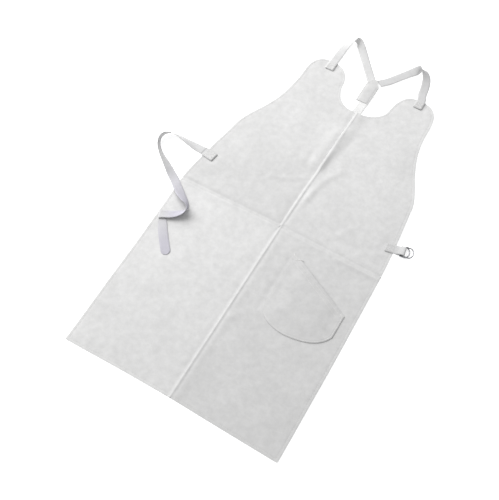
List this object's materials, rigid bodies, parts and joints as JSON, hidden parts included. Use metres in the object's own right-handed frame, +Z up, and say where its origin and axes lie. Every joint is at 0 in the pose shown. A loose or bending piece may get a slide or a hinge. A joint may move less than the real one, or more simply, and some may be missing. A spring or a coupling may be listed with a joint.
{
  "type": "welding apron",
  "caption": "Split-leather welding apron laid flat: bib and skirt panels with raised seams, hip pocket, crossed shoulder straps on a yoke, waist belt and D-rings.",
  "frame": {"origin": "on the underside, at the middle of the waist seam", "axes": "+X to the right as seen from above, +Y from the hem towards the bib, +Z up out of the front face"},
  "size_m": [0.7604, 1.2195, 0.0271],
  "materials": {
    "hide": "matt suede split leather, pale warm grey",
    "welt_hide": "matt split leather, nearly white on the folded edge",
    "strap_webbing": "woven pale grey webbing",
    "back_webbing": "woven off-white webbing",
    "ring_chrome": "bright plated steel wire"
  },
  "bodies": {
    "apron": {"skirt_panel_left": "hide", "skirt_panel_right": "hide", "bib_panel_left": "hide", "bib_panel_right": "hide", "skirt_centre_welt": "welt_hide", "bib_centre_welt": "welt_hide", "waist_welt_left": "welt_hide", "waist_welt_right": "welt_hide", "pocket_panel": "hide", "left_shoulder_strap_end": "strap_webbing", "right_shoulder_strap_end": "strap_webbing", "left_shoulder_strap": "strap_webbing", "right_shoulder_strap": "strap_webbing", "yoke_back_patch": "hide", "yoke_front_patch": "hide", "back_strap": "back_webbing", "belt_loop": "back_webbing", "belt_end": "strap_webbing", "belt_strap": "strap_webbing", "ring_tab_end": "strap_webbing"},
    "ring_tab": {"ring_tab_loop": "strap_webbing"},
    "lower_ring": {"lower_d_ring": "ring_chrome"},
    "upper_ring": {"upper_d_ring": "ring_chrome"}
  },
  "joints": [
    {"name": "ring_tab_fold", "type": "hinge", "parent": "apron", "child": "ring_tab", "pos_m": [0.2915, 0.084, 0.003], "axis": [0.1736, -0.9848, 0], "range_deg": [-60, 90]},
    {"name": "lower_ring_swing", "type": "hinge", "parent": "ring_tab", "child": "lower_ring", "pos_m": [0.30332, 0.08608, 0.0033], "axis": [0.1736, -0.9848, 0], "range_deg": [-80, 0]},
    {"name": "upper_ring_swing", "type": "hinge", "parent": "ring_tab", "child": "upper_ring", "pos_m": [0.31317, 0.08782, 0.0068], "axis": [0.1736, -0.9848, 0], "range_deg": [0, 100]}
  ]
}
